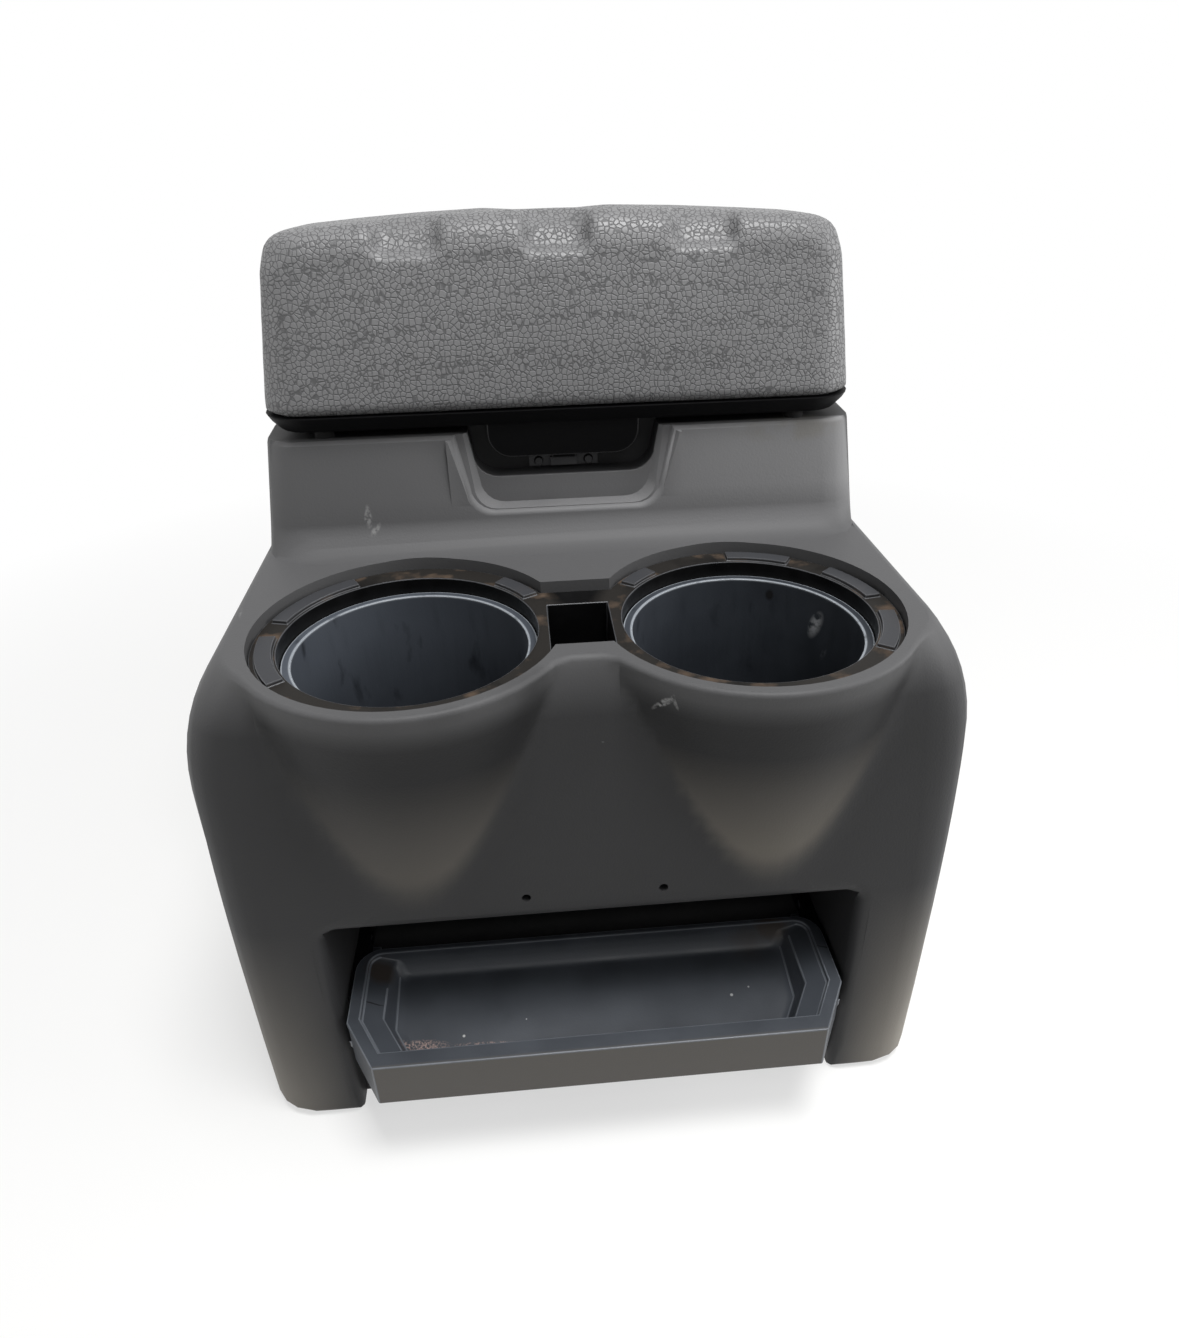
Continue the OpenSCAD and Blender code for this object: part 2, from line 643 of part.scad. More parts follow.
// Steel straps across the open bottom, one behind the niche and one near the back
module bracket_places() {
    for (y = [bracket_front_y, bracket_rear_y]) translate([0, y, 0]) both_sides() children();
}
module floor_bracket() difference() {
    x = body_w / 2 - wall - boss_l;
    union() {
        box(-x, x, -bracket_w / 2, bracket_w / 2, 0, bracket_t);
        both_sides() box(x - bracket_t, x, -bracket_w / 2, bracket_w / 2, 0, bracket_tab_h);
    }
    for (s = [-1, 1]) translate([s * bracket_pitch / 2, 0, -1])
        cylinder(d = bracket_hole_d, h = bracket_t + 2, $fn = 48);
    translate([-body_w / 2, 0, bracket_screw_z]) rotate([0, 90, 0])
        cylinder(d = bracket_screw_d + 2 * pin_clear, h = body_w, $fn = 24);
}
module floor_bracket_front() color("#6f7376") place() translate([0, bracket_front_y, 0]) floor_bracket();
module floor_bracket_rear() color("#6f7376") place() translate([0, bracket_rear_y, 0]) floor_bracket();
module bracket_screws() color("#8d8f92") place() bracket_places()
    translate([body_w / 2 - wall - boss_l - bracket_t, 0, bracket_screw_z]) rotate([0, -90, 0])
        screw(bracket_screw_d, bracket_t + boss_l - 1.5);

// Hinge: two leaves on the body's back, two under the lid's back edge, one pin through all knuckles
module hinge_base_places() {
    both_sides() for (x = [hinge_x - hinge_screw_x, hinge_x + hinge_screw_x])
        translate([x, body_back, hinge_screw_z]) rotate([-90, 0, 0]) children();
}
module knuckle(x, l) {
    translate([x - l / 2, hinge_y, hinge_z]) rotate([0, 90, 0]) cylinder(r = knuckle_r, h = l, $fn = 48);
}
module hinge_bore() {
    translate([-body_w / 2, hinge_y, hinge_z]) rotate([0, 90, 0])
        cylinder(d = hinge_pin_d + 2 * pin_clear, h = body_w, $fn = 48);
}
module hinge_base() color("#2a2b2d") place() difference() {
    both_sides() {
        box(hinge_x - hinge_leaf_w / 2, hinge_x + hinge_leaf_w / 2, body_back, body_back + hinge_t,
            hinge_z - hinge_leaf_h, hinge_z - 5);
        box(hinge_x - knuckle_l / 2, hinge_x + knuckle_l / 2, body_back, hinge_y,
            hinge_z - knuckle_r - 2, hinge_z - knuckle_r + 1.5);
        knuckle(hinge_x, knuckle_l);
    }
    hinge_bore();
    hinge_base_places() bore(hinge_screw_d);
}
module hinge_base_screws() color("#8d8f92") place() hinge_base_places()
    translate([0, 0, hinge_t]) screw(hinge_screw_d, 8);

module hinge_arm_places() {
    both_sides() for (x = [hinge_x - hinge_screw_x, hinge_x + hinge_screw_x])
        translate([x, hinge_y - 5.5, pan_z]) rotate([180, 0, 0]) children();
}
module hinge_arm() color("#2a2b2d") place() difference() {
    both_sides() {
        box(hinge_x - hinge_leaf_w / 2, hinge_x + hinge_leaf_w / 2, arm_front, hinge_y + 2.5,
            pan_z, pan_z + hinge_t);
        for (x = [-1, 1]) {
            box(hinge_x + x * arm_x - arm_l / 2, hinge_x + x * arm_x + arm_l / 2, hinge_y - 2, hinge_y + 2,
                hinge_z, pan_z + hinge_t);
            knuckle(hinge_x + x * arm_x, arm_l);
        }
    }
    hinge_bore();
    hinge_arm_places() bore(arm_screw_d);
}
module hinge_arm_screws() color("#8d8f92") place() hinge_arm_places() screw(arm_screw_d, hinge_t + 3);
module hinge_pin() color("#9a9ea2") place() translate([-hinge_pin_l / 2, hinge_y, hinge_z])
    rotate([0, 90, 0]) cylinder(d = hinge_pin_d, h = hinge_pin_l, $fn = 48);

// One ring of the lid at height z, drawn in by an offset; crown lowers it towards its sides and ends
function lid_ring(in, z, r, crown = 0) =
    let (w = pad_w / 2 - in, y0 = lid_front + in, y1 = back_y - in, yc = (y0 + y1) / 2, n = 8,
         corners = [[w - r, y1 - r, 0], [-w + r, y1 - r, 90], [-w + r, y0 + r, 180], [w - r, y0 + r, 270]],
         pts = [for (i = [0:3]) let (c = corners[i], d = corners[(i + 1) % 4]) each concat(
             [for (a = [0:15:90]) [c[0] + r * cos(c[2] + a), c[1] + r * sin(c[2] + a)]],
             [for (k = [1:n - 1])
                 let (e = [c[0] + r * cos(c[2] + 90), c[1] + r * sin(c[2] + 90)],
                      g = [d[0] + r * cos(d[2]), d[1] + r * sin(d[2])])
                 e + (g - e) * k / n])])
    [for (p = pts) [p[0], p[1], z - fall(p[1], z)
        - crown * (crown_x * pow(p[0] / (pad_w / 2), 2) + crown_y * pow((p[1] - yc) / (y1 - yc), 4))]];
// How much lower a point of the pad at y and height z lies than it would on a level pad
function fall(y, z) = pad_fall * max(z - pad_z, 0) / pad_h * (y - lid_front) / (back_y - lid_front);

module lid_pan() color("#222325") place() difference() {
    union() {
        difference() {
            loft([lid_ring(pan_in, pan_z, lid_r - pan_in),
                  lid_ring(pan_in * 0.3, pan_z + pan_h * 0.6, lid_r - pan_in * 0.3),
                  lid_ring(0, pad_z, lid_r)]);
            core_space(part_gap, pan_z + pan_t);
        }
        // Ears that hold the latch pin
        both_sides() box(ear_x, ear_x + ear_t, latch_y - 5, latch_y + 6, pan_z + eps, latch_z + 5);
    }
    box(-ear_x, ear_x, paddle_y - paddle_swing, latch_y + 10, pan_z - 1, pad_z + 1);
    translate([-ear_x - 2 * ear_t, latch_y, latch_z]) rotate([0, 90, 0])
        cylinder(d = latch_pin_d + 2 * pin_clear, h = 2 * (ear_x + 2 * ear_t), $fn = 32);
    // Rebates for the hinge leaves and holes for the screws
    both_sides() box(hinge_x - hinge_leaf_w / 2 - part_gap, hinge_x + hinge_leaf_w / 2 + part_gap,
                     arm_front - part_gap, hinge_y + 2.5 + part_gap, pan_z - 1, pan_z + hinge_t);
    hinge_arm_places() bore(arm_screw_d, 11);
    pan_places() bore(pan_screw_d, 20);
}

// Space of the lid's core from height z up, grown by a clearance
module core_space(grow, z) {
    translate([0, 0, z]) linear_extrude(core_top + grow - z)
        round_rect(pad_w - 2 * foam_t + 2 * grow, lid_front + foam_t - grow, back_y - foam_t + grow, core_r);
}
module latch_pocket(grow) {
    box(-pocket_w / 2 - grow, pocket_w / 2 + grow, paddle_y - paddle_swing - grow,
        paddle_y - paddle_swing + pocket_d + grow, pan_z, pad_z + pocket_h + grow);
}
module pan_places() {
    both_sides() for (y = [lid_front + foam_t + 30, (lid_front + back_y) / 2, back_y - foam_t - 24])
        translate([pad_w / 2 - foam_t - 16, y, pan_z]) rotate([180, 0, 0]) children();
}
module lid_core() color("#2b2c2e") place() difference() {
    union() {
        difference() {
            core_space(0, pan_z + pan_t);
            translate([0, 0, pan_z]) linear_extrude(core_top - core_t - pan_z)
                round_rect(pad_w - 2 * foam_t - 2 * core_t, lid_front + foam_t + core_t,
                           back_y - foam_t - core_t, core_r - core_t);
        }
        pan_places() translate([0, 0, pan_z - core_top + core_t - eps])
            cylinder(r = 4.5, h = core_top - core_t - pan_z - pan_t, $fn = 32);
        difference() {
            intersection() { latch_pocket(core_t); core_space(-1, pan_z + pan_t); }
            latch_pocket(0);
        }
    }
    latch_pocket(0);
    pan_places() translate([0, 0, -pan_screw_l - 2])
        cylinder(d = pan_screw_d + 2 * pin_clear, h = bore_l, $fn = 24);
}
module pan_screws() color("#8d8f92") place() pan_places() screw(pan_screw_d, pan_screw_l);

// Padded armrest: leaning sides, a soft round top edge, a crowned top and three notches over its front edge
module notch_cut() {
    out = lid_front - 20;
    over = pad_z + pad_h + 10;
    edge = [for (t = [20, 40, 60, 75]) [lid_front + pad_lean * pad_straight + notch_d + edge_in * (1 - cos(t)),
                                        pad_z + pad_straight + (pad_h - pad_straight - notch_d) * sin(t)]];
    rotate([90, 0, 90]) linear_extrude(notch_w, center = true) polygon(concat(
        [[out, pad_z + notch_low], [lid_front + pad_lean * pad_straight, pad_z + notch_low]],
        [for (p = concat(edge, [[notch_back, pad_z + pad_h - notch_d]])) [p[0], p[1] - fall(p[0], p[1])]],
        [[notch_back, over], [out, over]]));
}
module armrest_pad() color("#3a3a3c") place() difference() {
    loft(concat(
        [for (h = [0, 1.5, 0.45 * pad_straight, pad_straight])
            lid_ring(h == 0 ? 1.5 : pad_lean * h, pad_z + h, lid_r - pad_lean * h)],
        [for (t = [15:15:90]) let (in = pad_lean * pad_straight + edge_in * (1 - cos(t)))
            lid_ring(in, pad_z + pad_straight + (pad_h - pad_straight) * sin(t), lid_r - in * 0.4,
                     sin(t) * sin(t))],
        [for (in = [38, 62, 90]) lid_ring(in, pad_z + pad_h, max(lid_r - in * 0.4, 2), 1)]));
    core_space(part_gap, pad_z - 1);
    latch_pocket(part_gap);
    for (x = [-1, 0, 1]) translate([x * notch_pitch, 0, 0]) notch_cut();
}

// Latch paddle that hangs from the lid into the finger recess
module latch_paddle() color("#1d1e20") place() difference() {
    union() {
        translate([0, paddle_y + paddle_t, 0]) rotate([90, 0, 0]) linear_extrude(paddle_t) {
            translate([-paddle_w / 2, paddle_bottom + paddle_r])
                square([paddle_w, latch_z - paddle_bottom - paddle_r]);
            translate([-paddle_w / 2 + paddle_r, paddle_bottom])
                square([paddle_w - 2 * paddle_r, paddle_r + eps]);
            for (s = [-1, 1]) translate([s * (paddle_w / 2 - paddle_r), paddle_bottom + paddle_r])
                circle(paddle_r);
        }
        translate([-paddle_w / 2, latch_y, latch_z]) rotate([0, 90, 0])
            cylinder(r = latch_boss_r, h = paddle_w, $fn = 48);
        box(-hook_w / 2, hook_w / 2, paddle_y + paddle_t - eps, hook_back, striker_z + striker_h + 0.5,
            paddle_bottom + 14);
    }
    translate([-paddle_w, latch_y, latch_z]) rotate([0, 90, 0])
        cylinder(d = latch_pin_d + 2 * pin_clear, h = 2 * paddle_w, $fn = 32);
    box(-spring_l / 2 - 1, spring_l / 2 + 1, paddle_y - 2, latch_y + 8, latch_z - latch_boss_r - 1,
        latch_z + 8);
}
module latch_pin() color("#9a9ea2") place() translate([-ear_x - ear_t, latch_y, latch_z])
    rotate([0, 90, 0]) cylinder(d = latch_pin_d, h = 2 * (ear_x + ear_t), $fn = 32);
module latch_spring() color("#7d8185") place() translate([0, latch_y, latch_z]) {
    r = latch_pin_d / 2 + spring_wire / 2 + part_gap;
    turns = floor(spring_l / spring_wire) - 1;
    for (i = [0:turns - 1]) translate([(i - (turns - 1) / 2) * spring_wire * 0.96, 0, 0]) rotate([0, 90, 0])
        rotate_extrude($fn = 32) translate([r, 0]) circle(d = spring_wire, $fn = 16);
    translate([0, r, 0]) cylinder(d = spring_wire, h = pocket_h - 8, $fn = 16);
}

console_shell();
cup_carrier();
cup_liner_left();
cup_liner_right();
tray_rail_left();
tray_rail_right();
rail_screws();
storage_tray();
storage_bin();
bin_screws();
latch_striker();
striker_screws();
bumper_left();
bumper_right();
floor_bracket_front();
floor_bracket_rear();
bracket_screws();
hinge_base();
hinge_base_screws();
hinge_arm();
hinge_arm_screws();
hinge_pin();
lid_pan();
lid_core();
armrest_pad();
pan_screws();
latch_paddle();
latch_pin();
latch_spring();
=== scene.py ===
import bpy
import json
from math import pi, radians
from mathutils import Matrix, Vector


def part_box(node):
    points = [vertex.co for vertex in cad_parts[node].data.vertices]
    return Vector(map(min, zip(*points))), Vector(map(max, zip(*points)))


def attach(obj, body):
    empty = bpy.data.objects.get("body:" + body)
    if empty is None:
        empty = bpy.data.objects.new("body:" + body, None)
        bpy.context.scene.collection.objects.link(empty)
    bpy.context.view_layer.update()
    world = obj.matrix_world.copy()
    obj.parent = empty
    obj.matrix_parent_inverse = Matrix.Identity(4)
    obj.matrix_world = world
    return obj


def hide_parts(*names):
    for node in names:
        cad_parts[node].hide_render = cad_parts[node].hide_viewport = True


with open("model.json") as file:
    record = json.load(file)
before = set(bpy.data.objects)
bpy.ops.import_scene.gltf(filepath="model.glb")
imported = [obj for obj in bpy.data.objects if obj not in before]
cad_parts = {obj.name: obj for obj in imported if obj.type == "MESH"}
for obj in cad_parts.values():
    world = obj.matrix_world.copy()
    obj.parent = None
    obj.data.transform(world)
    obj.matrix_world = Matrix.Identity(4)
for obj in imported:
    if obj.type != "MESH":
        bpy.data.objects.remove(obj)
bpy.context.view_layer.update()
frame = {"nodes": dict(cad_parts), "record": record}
mm = 0.001
bodyOf = {node: body for body, nodes in frame["record"]["behaviour"]["bodies"].items() for node in nodes}


# sRGB hex to the linear values that Blender's sockets take
def linear(hexColour):
    channels = [int(hexColour[i:i + 2], 16) / 255 for i in (1, 3, 5)]
    return [c / 12.92 if c < 0.04045 else ((c + 0.055) / 1.055) ** 2.4 for c in channels] + [1.0]


# Adds a node: settings are its own values or its inputs' values, links are what feeds its inputs
def addNode(tree, kind, settings=None, links=None):
    node = tree.nodes.new(kind)
    for name, value in (settings or {}).items():
        if isinstance(name, int) or name in node.inputs:
            node.inputs[name].default_value = value
        else:
            setattr(node, name, value)
    for name, source in (links or {}).items():
        tree.links.new(source, node.inputs[name])
    return node


# Starts a material and returns it with its tree, its shader and its object coordinates
def newMaterial(name, shaderSettings):
    material = bpy.data.materials.new(name)
    material.use_nodes = True
    tree = material.node_tree
    tree.nodes.clear()
    shader = addNode(tree, "ShaderNodeBsdfPrincipled", shaderSettings)
    addNode(tree, "ShaderNodeOutputMaterial", links={"Surface": shader.outputs[0]})
    place = addNode(tree, "ShaderNodeTexCoord").outputs["Object"]
    return material, tree, shader, place


# Moulded plastic: its grain scatters the gloss, and slow drifts of tone keep wide faces from looking flat.
# The real grain is too fine to show in the render, so it is drawn coarser.
def mouldedPlastic(name, look):
    material, tree, shader, place = newMaterial(name, {"IOR": 1.5, "Specular IOR Level": look["sheen"]})
    drift = addNode(tree, "ShaderNodeTexNoise", {"Scale": 1 / (look["driftMm"] * mm), "Detail": 5.0},
                    {"Vector": place})
    tone = addNode(tree, "ShaderNodeMix",
                   {"data_type": "RGBA", 6: linear(look["dark"]), 7: linear(look["light"])},
                   {0: drift.outputs["Fac"]})
    smoothest, roughest = look["rough"]
    gloss = addNode(tree, "ShaderNodeMapRange",
                    {"From Min": 0.3, "From Max": 0.7, "To Min": smoothest, "To Max": roughest},
                    {"Value": drift.outputs["Fac"]})
    grain = addNode(tree, "ShaderNodeTexNoise", {"Scale": 1 / (look["grainMm"] * mm), "Detail": 2.0},
                    {"Vector": place})
    bump = addNode(tree, "ShaderNodeBump",
                   {"Strength": look["grainStrength"], "Distance": look["grainMm"] * mm * 0.3},
                   {"Height": grain.outputs["Fac"]})
    tree.links.new(tone.outputs[2], shader.inputs["Base Color"])
    tree.links.new(gloss.outputs[0], shader.inputs["Roughness"])
    tree.links.new(bump.outputs[0], shader.inputs["Normal"])
    return {"material": material, "tree": tree, "shader": shader, "place": place,
            "colour": tone.outputs[2], "gloss": gloss.outputs[0]}


# Lays dust, wear, stains, painted light and painted shade over a plastic, each where its mask shows
def layOver(plastic, layers):
    tree, shader = plastic["tree"], plastic["shader"]
    for mask, hexColour, rough in layers:
        over = addNode(tree, "ShaderNodeMix", {"data_type": "RGBA", 7: linear(hexColour)},
                       {0: mask, 6: plastic["colour"]})
        dulled = addNode(tree, "ShaderNodeMix", {3: rough}, {0: mask, 2: plastic["gloss"]})
        plastic["colour"] = over.outputs[2]
        plastic["gloss"] = dulled.outputs[0]
    tree.links.new(plastic["colour"], shader.inputs["Base Color"])
    tree.links.new(plastic["gloss"], shader.inputs["Roughness"])
    return plastic["material"]


# The larger of two masks, or the second where there is no first yet
def either(tree, first, second):
    if first is None:
        return second
    return addNode(tree, "ShaderNodeMath", {"operation": "MAXIMUM"}, {0: first, 1: second}).outputs[0]


# Multiplies masks
def together(tree, first, *others):
    for other in others:
        first = addNode(tree, "ShaderNodeMath", {"operation": "MULTIPLY"}, {0: first, 1: other}).outputs[0]
    return first


# Mask of soft spots: each has its place in millimetres, its turn in degrees, its half sizes and its strength
def spotMask(tree, place, spots):
    solidShare = 0.55  # the part of a spot's half size that shows in full
    mask = None
    for at, turn, half, strength in spots:
        near = addNode(tree, "ShaderNodeMapping",
                       {"vector_type": "TEXTURE", "Location": [v * mm for v in at],
                        "Rotation": [radians(v) for v in turn], "Scale": [v * mm for v in half]},
                       {"Vector": place})
        far = addNode(tree, "ShaderNodeVectorMath", {"operation": "LENGTH"}, {0: near.outputs[0]})
        spot = addNode(tree, "ShaderNodeMapRange",
                       {"From Min": 1.0, "From Max": solidShare, "To Max": strength},
                       {"Value": far.outputs["Value"]})
        mask = either(tree, mask, spot.outputs[0])
    return mask


# Breaks a mask up into blotches of a real size; a higher floor leaves fewer of them
def brokenUp(tree, place, mask, sizeMm, floor, stretch=(1, 1, 1)):
    edge = 0.16  # how slowly a blotch fades out
    drawn = addNode(tree, "ShaderNodeMapping", {"Scale": stretch}, {"Vector": place})
    blotches = addNode(tree, "ShaderNodeTexNoise", {"Scale": 1 / (sizeMm * mm), "Detail": 4.0},
                       {"Vector": drawn.outputs[0]})
    kept = addNode(tree, "ShaderNodeMapRange", {"From Min": floor, "From Max": floor + edge},
                   {"Value": blotches.outputs["Fac"]})
    return together(tree, mask, kept.outputs[0])


# Mask that grows from a start value to an end value between two places along an axis, in millimetres
def rampMask(tree, place, axis, span, values=(0, 1)):
    along = addNode(tree, "ShaderNodeSeparateXYZ", links={0: place}).outputs["XYZ".index(axis)]
    ramp = addNode(tree, "ShaderNodeMapRange",
                   {"From Min": span[0] * mm, "From Max": span[1] * mm, "To Min": values[0],
                    "To Max": values[1]}, {"Value": along})
    return ramp.outputs[0]


# Shoves coordinates about by a real size, so that marks lose their regular outline
def shaken(tree, place, sizeMm, byMm):
    noise = addNode(tree, "ShaderNodeTexNoise", {"Scale": 1 / (sizeMm * mm), "Detail": 3.0},
                    {"Vector": place})
    centred = addNode(tree, "ShaderNodeVectorMath", {"operation": "SUBTRACT", 1: (0.5, 0.5, 0.5)},
                      {0: noise.outputs["Color"]})
    moved = addNode(tree, "ShaderNodeVectorMath", {"operation": "MULTIPLY_ADD", 1: (byMm * mm,) * 3},
                    {0: centred.outputs[0], 2: place})
    return moved.outputs[0]


# Mask of what stands in front of the front face, which swells towards the floor as in the part's own sizes
def proudMask(tree, place):
    face = {"deckHeight": 215, "top": -160, "swell": 17, "run": 60, "from": 0.3, "to": 3}  # millimetres
    parts = addNode(tree, "ShaderNodeSeparateXYZ", links={0: place})
    drop = addNode(tree, "ShaderNodeMapRange",
                   {"clamp": False, "From Min": face["deckHeight"] * mm,
                    "From Max": (face["deckHeight"] - face["run"]) * mm, "To Max": -1},
                   {"Value": parts.outputs[2]})
    fade = addNode(tree, "ShaderNodeMath", {"operation": "EXPONENT"}, {0: drop.outputs[0]})
    front = addNode(tree, "ShaderNodeMapRange",
                    {"clamp": False, "To Min": (face["top"] - face["swell"]) * mm,
                     "To Max": face["top"] * mm}, {"Value": fade.outputs[0]})
    proud = addNode(tree, "ShaderNodeMath", {"operation": "SUBTRACT"},
                    {0: front.outputs[0], 1: parts.outputs[1]})
    mask = addNode(tree, "ShaderNodeMapRange",
                   {"interpolation_type": "SMOOTHSTEP", "From Min": face["from"] * mm,
                    "From Max": face["to"] * mm}, {"Value": proud.outputs[0]})
    return mask.outputs[0]


# Mask of thin rings round both cup axes, each with its radius and half width in millimetres
def ringMask(tree, place, rings):
    cupAxis = (62 * mm, -130 * mm, 0)  # the right well's, which the left one mirrors
    solidShare = 0.4  # the part of a ring's half width that shows in full
    parts = addNode(tree, "ShaderNodeSeparateXYZ", links={0: place})
    across = addNode(tree, "ShaderNodeMath", {"operation": "ABSOLUTE"}, {0: parts.outputs[0]})
    flat = addNode(tree, "ShaderNodeCombineXYZ", links={0: across.outputs[0], 1: parts.outputs[1]})
    out = addNode(tree, "ShaderNodeVectorMath", {"operation": "DISTANCE", 1: cupAxis},
                  {0: flat.outputs[0]})
    mask = None
    for radius, half in rings:
        away = addNode(tree, "ShaderNodeMath", {"operation": "SUBTRACT", 1: radius * mm},
                       {0: out.outputs["Value"]})
        near = addNode(tree, "ShaderNodeMath", {"operation": "ABSOLUTE"}, {0: away.outputs[0]})
        ring = addNode(tree, "ShaderNodeMapRange",
                       {"From Min": half * mm, "From Max": half * solidShare * mm},
                       {"Value": near.outputs[0]})
        mask = either(tree, mask, ring.outputs[0])
    return mask


# Charcoal ABS, injection moulded against spark-eroded steel: satin, with dust on the deck and scuffed faces.
# Painted light makes the neck, the low flanks and the lower barrels paler, most on the right, and painted
# shade darkens the upper barrels.
# Heights, places and sizes are in millimetres.
def shellMaterial():
    plastic = mouldedPlastic("mouldedCharcoalAbs", {
        "dark": "#29292a", "light": "#333334", "driftMm": 55, "rough": (0.44, 0.56), "sheen": 0.18,
        "grainMm": 0.9, "grainStrength": 0.25})
    overlays = {
        # The deck's dust and the neck's painted light both stop at this depth, out of the finger recess
        "outsideY": (-54.5, -56.5),  # haze stays in front of this, out of the finger recess's depth
        "deck": {"colour": "#5a5a5b", "height": (194, 222), "cloudMm": 90},
        # painted light: the neck is drawn paler, from dim at the left to brightest at the right
        "neck": {"colour": "#7e7e7f", "height": (217, 236), "across": (-110, 70)},
        # paler low flanks: floor dust and painted light from the floor and the sides, stronger on the right
        "flank": {"colour": "#8a857d", "height": (110, 15), "left": (-106, -138), "right": (106, 138)},
        # painted light: the lower barrels are drawn paler, more so towards the right
        "belly": {"colour": "#5f5b55", "height": (185, 138), "across": (-120, 60)},
        # painted shade: the upper barrels below the deck are drawn darker
        "hollow": {"colour": "#1a1a1b", "from": (150, 176), "to": (209, 200)},
        "dust": {"colour": "#77746e", "sizeMm": 14, "spots": [
            ((92, -60, 258), (0, 0, 0), (26, 14, 6), 0.5),
            ((130, -128, 206), (0, 0, 0), (9, 18, 9), 0.5)]},
        "scuff": {"colour": "#8c8c8c", "sizeMm": 1.6, "spots": [
            ((-82, -62, 230), (0, 0, 0), (1.6, 9, 5.5), 0.9),
            ((-79.5, -62, 224.5), (0, 40, 0), (1.4, 9, 4), 0.7),
            ((23.5, -178, 203), (0, 35, 0), (1.3, 14, 6.5), 0.9),
            ((27, -178, 206), (0, -20, 0), (0.8, 14, 4), 0.6),
            ((-124.5, -114, 208), (0, 0, 8), (1.1, 8, 9), 0.8),
            ((4.2, -178, 184), (0, 0, 0), (1.2, 12, 1.2), 0.9)]},
    }
    tree, place = plastic["tree"], plastic["place"]
    rough = shaken(tree, place, 6, 2.5)
    outside = rampMask(tree, place, "Y", overlays["outsideY"])
    deckRamp = rampMask(tree, place, "Z", overlays["deck"]["height"])
    deck = together(tree, brokenUp(tree, place, deckRamp, overlays["deck"]["cloudMm"], 0.2), outside)
    # painted light on the neck, brightening towards the right
    neck = together(tree, rampMask(tree, place, "Z", overlays["neck"]["height"]),
                    rampMask(tree, place, "X", overlays["neck"]["across"], (0.1, 1)), outside)
    # low flanks: floor dust and painted light, weaker on the left
    low = rampMask(tree, place, "Z", overlays["flank"]["height"])
    left = together(tree, low, rampMask(tree, place, "X", overlays["flank"]["left"], (0, 0.7)))
    right = together(tree, low, rampMask(tree, place, "X", overlays["flank"]["right"]))
    proud = proudMask(tree, place)
    # painted light on the lower barrels, stronger towards the right
    belly = together(tree, proud, rampMask(tree, place, "Z", overlays["belly"]["height"]),
                     rampMask(tree, place, "X", overlays["belly"]["across"], (0.45, 1)))
    # painted shade on the upper barrels
    hollow = together(tree, proud, rampMask(tree, place, "Z", overlays["hollow"]["from"], (0, 0.8)),
                      rampMask(tree, place, "Z", overlays["hollow"]["to"]))
    dustSpots = spotMask(tree, rough, overlays["dust"]["spots"])
    scuffSpots = spotMask(tree, rough, overlays["scuff"]["spots"])
    dust = brokenUp(tree, place, dustSpots, overlays["dust"]["sizeMm"], 0.35)
    scuff = brokenUp(tree, place, scuffSpots, overlays["scuff"]["sizeMm"], 0.38)
    return layOver(plastic, [
        (deck, overlays["deck"]["colour"], 0.55),
        (neck, overlays["neck"]["colour"], 0.55),
        (left, overlays["flank"]["colour"], 0.6),
        (right, overlays["flank"]["colour"], 0.6),
        (hollow, overlays["hollow"]["colour"], 0.5),
        (belly, overlays["belly"]["colour"], 0.6),
        (dust, overlays["dust"]["colour"], 0.62),
        (scuff, overlays["scuff"]["colour"], 0.65)])


# Blue-grey polypropylene of the cup liners: waxy, with a pale lip that is partly wear and partly a painted
# highlight, dried drips and a hazy wall
def cupMaterial():
    plastic = mouldedPlastic("mouldedBlueGreyPolypropylene", {
        "dark": "#15171b", "light": "#202429", "driftMm": 14, "rough": (0.36, 0.52), "sheen": 0.35,
        "grainMm": 0.9, "grainStrength": 0.12})
    overlays = {
        "haze": {"colour": "#4a4f57", "height": (136, 192), "across": (90, -100)},
        # the pale lip rings are partly wear and partly a painted highlight on the lip's edge
        "lip": {"colour": "#8e9399", "height": (203.6, 204.2), "rings": [(42.9, 0.7), (45.9, 0.5)]},
        "drip": {"colour": "#a4a6a8", "spots": [
            ((97.5, -101, 192), (0, 12, 0), (2.4, 10, 9), 0.8),
            ((100, -104, 182), (0, 12, 0), (1.4, 10, 8), 0.5)]},
        "stain": {"colour": "#0c0c0e", "spots": [((81, -92, 198.5), (0, 0, 0), (1.8, 9, 3), 1.0)]},
    }
    tree, place = plastic["tree"], plastic["place"]
    wall = together(tree, rampMask(tree, place, "Z", overlays["haze"]["height"], (0, 0.85)),
                    rampMask(tree, place, "X", overlays["haze"]["across"], (0.25, 1)))
    # pale lip: wear and painted highlight
    lip = together(tree, rampMask(tree, place, "Z", overlays["lip"]["height"]),
                   ringMask(tree, place, overlays["lip"]["rings"]))
    drips = spotMask(tree, place, overlays["drip"]["spots"])
    return layOver(plastic, [
        (brokenUp(tree, place, wall, 9, 0.22, (1, 1, 0.4)), overlays["haze"]["colour"], 0.55),
        (brokenUp(tree, place, lip, 9, 0.25), overlays["lip"]["colour"], 0.4),
        (brokenUp(tree, place, drips, 3, 0.35), overlays["drip"]["colour"], 0.6),
        (spotMask(tree, place, overlays["stain"]["spots"]), overlays["stain"]["colour"], 0.5)])


